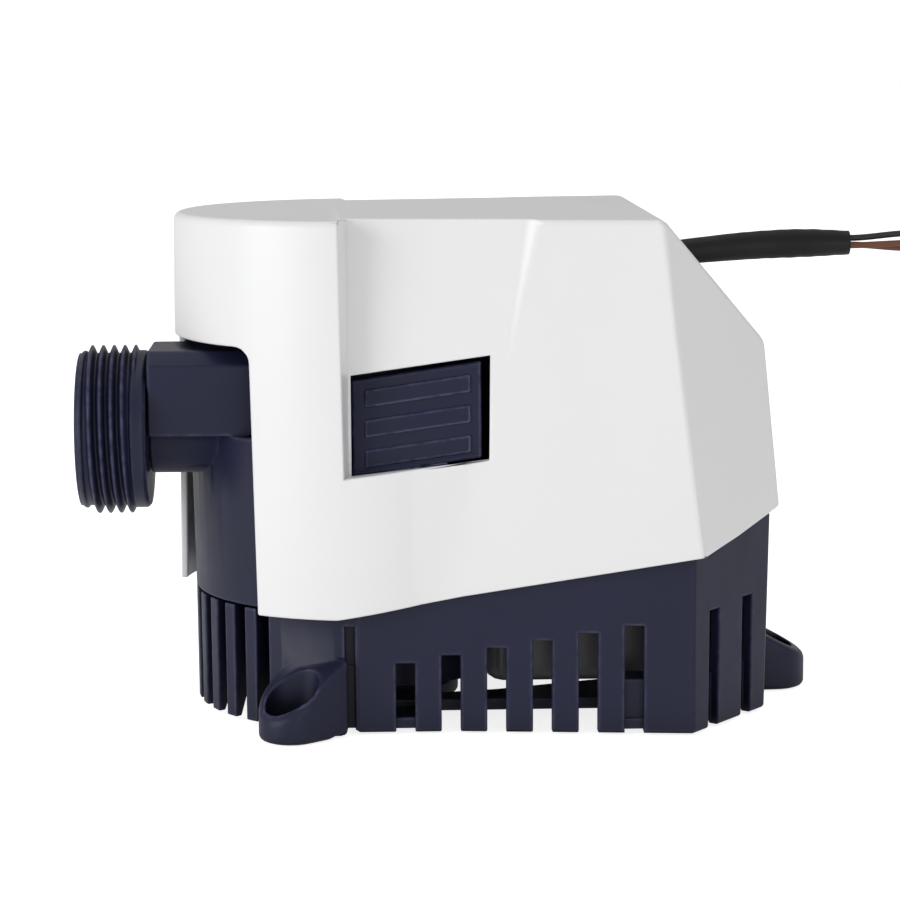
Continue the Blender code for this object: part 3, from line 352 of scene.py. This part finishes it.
def rounded_copy(name, node, width, segments=3, look=None, angle=28.0, merge=0.06):
    """A CAD node's shape with its triangles joined up and real rounded edges."""
    mesh = nodes[node].data.copy()
    shape = bmesh.new()
    shape.from_mesh(mesh)
    bmesh.ops.remove_doubles(shape, verts=shape.verts, dist=merge * MM)
    bmesh.ops.dissolve_limit(shape, angle_limit=math.radians(1.0), verts=shape.verts, edges=shape.edges)
    weight = shape.edges.layers.float.new("bevel_weight_edge")
    for line in shape.edges:
        outer = len(line.link_faces) == 2 and line.calc_face_angle_signed() > math.radians(angle)
        long_enough = line.calc_length() > 0.5 * width * MM
        line[weight] = 1.0 if outer and long_enough else 0.0
    shape.to_mesh(mesh)
    shape.free()
    item = add_piece(name, mesh, node, look)
    edge = item.modifiers.new("rounded_edges", 'BEVEL')
    edge.width = width * MM
    edge.segments = segments
    edge.limit_method = 'WEIGHT'
    edge.miter_outer = 'MITER_ARC'
    edge.use_clamp_overlap = False
    bpy.context.view_layer.update()
    solid = bpy.data.meshes.new_from_object(item.evaluated_get(bpy.context.evaluated_depsgraph_get()))
    item.modifiers.clear()
    item.data = solid
    shade(item)
    return item


def ring_mesh(name, rings, closed=False):
    """Quads between rings of points, with the last ring joined to the first or both ends capped."""
    shape = bmesh.new()
    rows = [[shape.verts.new(point) for point in ring] for ring in rings]
    count = len(rows[0])
    pairs = list(zip(rows, rows[1:]))
    if closed:
        pairs.append((rows[-1], rows[0]))
    for row, following in pairs:
        for i in range(count):
            j = (i + 1) % count
            shape.faces.new((row[i], row[j], following[j], following[i]))
    if not closed:
        shape.faces.new(list(reversed(rows[0])))
        shape.faces.new(rows[-1])
    bmesh.ops.recalc_face_normals(shape, faces=shape.faces)
    mesh = bpy.data.meshes.new(name)
    shape.to_mesh(mesh)
    shape.free()
    return mesh


def ease(start, end, value):
    """0 before start, 1 after end, and smooth between."""
    share = min(1.0, max(0.0, (value - start) / (end - start)))
    return share * share * (3 - 2 * share)


def step_line(points, value):
    """Height of a line through (place, height) points."""
    for (a, low), (b, high) in zip(points, points[1:]):
        if value <= b:
            return low + (high - low) * max(0.0, value - a) / (b - a)
    return points[-1][1]


def thread_radius(depth, turn):
    """Outer radius of the discharge collar, depth mm behind its mouth and turn round from its top."""
    base = step_line(COLLAR, depth)
    along = (depth - THREAD_START) / THREAD_PITCH - turn / math.tau
    nearest = round(along)
    off = abs(along - nearest) * THREAD_PITCH
    height = step_line(((0.0, 1.0), (0.14, 0.97), (0.26, 0.84), (0.8, 0.08), (0.95, 0.0)), off)
    wound = nearest + turn / math.tau
    height *= ease(-0.4, -0.2, wound) * (1 - ease(THREAD_TURNS, THREAD_TURNS + 0.14, wound))
    return max(base, THREAD_ROOT + (THREAD_CREST - THREAD_ROOT) * height)


def build_port():
    """The discharge collar with a true helical thread, its bore and its seat."""
    low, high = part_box("threaded_port")
    centre_y, centre_z = (low[1] + high[1]) / 2, (low[2] + high[2]) / 2
    mouth, length = low[0], (high[0] - low[0]) / MM
    count = 120
    angles = [math.tau * i / count for i in range(count)]

    def ring(depth, radius_of):
        points = []
        for turn in angles:
            radius = radius_of(turn) * MM
            points.append(Vector((mouth + depth * MM, centre_y - radius * math.sin(turn),
                                  centre_z + radius * math.cos(turn))))
        return points
    rings = []
    steps = 104
    for k in range(steps + 1):
        depth = length * k / steps
        rings.append(ring(depth, lambda turn: thread_radius(depth, turn)))
    inside = ((length, SEAT_BORE), (length - SEAT_DEPTH, SEAT_BORE), (length - 4.0, 10.6), (0.9, 11.0),
              (0.25, 11.3), (0.0, 11.8), (0.0, 13.9))
    for depth, radius in inside:
        rings.append(ring(depth, lambda turn: radius))
    item = add_piece("discharge_collar", ring_mesh("discharge_collar", rings, closed=True), "threaded_port")
    shade(item, 50)


def path_frame(points, k):
    """Side and up vectors of a path that runs mostly along X."""
    ahead = (points[min(k + 1, len(points) - 1)] - points[max(k - 1, 0)]).normalized()
    side = Vector((0, 0, 1)).cross(ahead).normalized()
    return side, ahead.cross(side)


def tube_rings(points, radius_of, count):
    """Rings of count points round a path; radius_of takes the point's number and the angle."""
    rings = []
    for k, point in enumerate(points):
        side, up = path_frame(points, k)
        ring = []
        for i in range(count):
            turn = math.tau * i / count
            ring.append(point + (side * math.cos(turn) + up * math.sin(turn)) * radius_of(k, turn))
        rings.append(ring)
    return rings


def arch(x, start, end, rise):
    """Height at x of a line from start to end that is arched by rise in its middle."""
    share = (x - start[0]) / (end[0] - start[0])
    return start[1] + (end[1] - start[1]) * share + rise * math.sin(math.pi * min(share, 1.0))


def cable_point(x):
    """Point on the cable's middle line, in mm: the CAD line inside the cover, then a flatter one."""
    inside, outside = arch(x, CABLE_START, CABLE_END, CABLE_ARCH), arch(x, *FLAT_CABLE)
    return Vector((x, CABLE_Y, inside + (outside - inside) * ease(58.0, 70.0, x)))


def build_sleeve():
    """Shrunk tubing over the wires: a long taper with faint lumps where the leads lie under it."""
    low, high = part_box("cable_sleeve")
    start, end = low[0] / MM + 0.1, high[0] / MM - 0.1
    spots = [start + (end - start) * k / 89 for k in range(90)]

    def radius(k, turn):
        x = spots[k]
        base = step_line(SLEEVE_TAPER, x)
        lump = 0.05 * math.sin(turn * 3 + x * 0.11) * ease(66.0, 80.0, x)
        crease = 0.03 * math.sin(x * 1.7 + 2.0 * math.sin(turn)) * ease(70.0, 84.0, x)
        return (base + lump + crease) * MM
    line = [cable_point(x) * MM for x in spots]
    outer = tube_rings(line, radius, 48)
    inner = tube_rings(line, lambda k, turn: SLEEVE_BORE * MM, 48)
    mesh = ring_mesh("sleeve_with_taper", outer + list(reversed(inner)), closed=True)
    shade(add_piece("sleeve_with_taper", mesh, "cable_sleeve"), 60)


def build_lead(name, node, turn, drift):
    """One insulated lead that runs in the sleeve and parts from the others past its end."""
    low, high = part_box(node)
    start, end, part = low[0] / MM + 0.1, high[0] / MM - 0.05, CABLE_END[0] + 0.3
    angle = math.radians(turn)
    offset = Vector((0, LEAD_RING * math.cos(angle), LEAD_RING * math.sin(angle)))
    line = []
    for k in range(100):
        x = start + (end - start) * k / 99
        away = ease(part, end, x)
        middle = cable_point(min(x, part))
        line.append(Vector((x, middle.y + offset.y + drift[1] * away,
                            middle.z + offset.z + drift[0] * away)) * MM)
    rings = tube_rings(line, lambda k, turn: LEAD_R * MM, 24)
    shade(add_piece(name, ring_mesh(name, rings), node), 60)


# ---------------------------------------------------------------- studio

def area(name, where, aim, size, power, tint=(1.0, 1.0, 1.0)):
    lamp = bpy.data.lights.new(name, 'AREA')
    lamp.shape = 'RECTANGLE'
    lamp.size, lamp.size_y = size
    lamp.energy = power
    lamp.color = tint
    item = bpy.data.objects.new(name, lamp)
    bpy.context.scene.collection.objects.link(item)
    item.location = where
    item.rotation_mode = 'QUATERNION'
    item.rotation_quaternion = (Vector(aim) - Vector(where)).to_track_quat('-Z', 'Y')
    return item


def glow(tree, to_camera, to_object):
    """Strength that is to_camera where the camera sees it, and to_object as light."""
    path = tree.nodes.new("ShaderNodeLightPath")
    pick = tree.nodes.new("ShaderNodeMapRange")
    tree.links.new(path.outputs["Is Camera Ray"], pick.inputs["Value"])
    pick.inputs["To Min"].default_value = to_object
    pick.inputs["To Max"].default_value = to_camera
    return pick.outputs["Result"]


def studio():
    """A pale glowing table, a bright surround and soft lamps, the strongest from the front left."""
    mesh = bpy.data.meshes.new("floor")
    shape = bmesh.new()
    bmesh.ops.create_grid(shape, x_segments=1, y_segments=1, size=6.0)
    shape.to_mesh(mesh)
    shape.free()
    floor = bpy.data.objects.new("floor", mesh)
    bpy.context.scene.collection.objects.link(floor)
    floor.location.z = -0.0002
    s = Shader("floor")
    s.set("Base Color", s.blend(s.span(s.noise(3.0), 0.0, 1.0), grey(0.86), grey(0.9)))
    s.set("Roughness", 0.9)
    s.set("Emission Color", grey(1.0))
    s.set("Emission Strength", glow(s.tree, 0.82, 0.2))
    floor.data.materials.append(s.mat)
    world = bpy.data.worlds.new("surround")
    bpy.context.scene.world = world
    world.use_nodes = True
    shade = world.node_tree.nodes["Background"]
    shade.inputs["Color"].default_value = (1.0, 1.0, 1.0, 1.0)
    world.node_tree.links.new(glow(world.node_tree, 1.0, 0.48), shade.inputs["Strength"])
    centre = (0.02, 0.0, 0.05)
    area("key", (-0.95, -0.62, 0.3), centre, (0.7, 0.7), 5.3)
    area("top", (-0.1, 0.1, 0.95), centre, (0.8, 0.6), 1.0)
    area("fill", (0.35, -1.0, 0.25), centre, (0.5, 0.5), 1.0)
    bpy.context.scene.view_settings.view_transform = 'Standard'


def camera():
    """Long lens a little above the pump and square to its long side."""
    aim = Vector((0.01656, -0.0025, 0.05096))
    distance, turn, rise, roll = 0.552, math.radians(1.96), math.radians(8.65), math.radians(-0.36)
    back = Vector((-math.sin(turn) * math.cos(rise), -math.cos(turn) * math.cos(rise), math.sin(rise)))
    right = (-back).cross(Vector((0, 0, 1))).normalized()
    up = right.cross(-back)
    right, up = (math.cos(roll) * right + math.sin(roll) * up,
                 -math.sin(roll) * right + math.cos(roll) * up)
    lens = bpy.data.cameras.new("camera")
    lens.sensor_width = 36.0
    lens.lens = 108.0
    lens.clip_start = 0.01
    item = bpy.data.objects.new("camera", lens)
    bpy.context.scene.collection.objects.link(item)
    turned = Matrix((right, up, back)).transposed().to_4x4()
    item.matrix_world = Matrix.Translation(aim + back * distance) @ turned
    bpy.context.scene.camera = item


slot_of = {part["node"]: part["material_slot"] for part in frame["record"]["subparts"]}
materials = make_materials()
dress_nodes(materials)
build_port()
rounded_copy("cover_shell", "cover", 0.35)
rounded_copy("pump_body_shell", "pump_body", 0.45)
rounded_copy("strainer_shell", "strainer_base", 0.28, 2)
rounded_copy("release_pad_near", "release_tab_near", 0.16, 2, "ridged_pad")
rounded_copy("release_pad_far", "release_tab_far", 0.16, 2, "ridged_pad")
rounded_copy("float_block", "float", 0.5)
build_sleeve()
build_lead("lead_brown_1", "wire_brown_1", 210, (0.4, -0.2))
build_lead("lead_brown_2", "wire_brown_2", 330, (-0.8, 0.2))
build_lead("lead_black", "wire_black", 90, (0.8, 0.8))
studio()
camera()
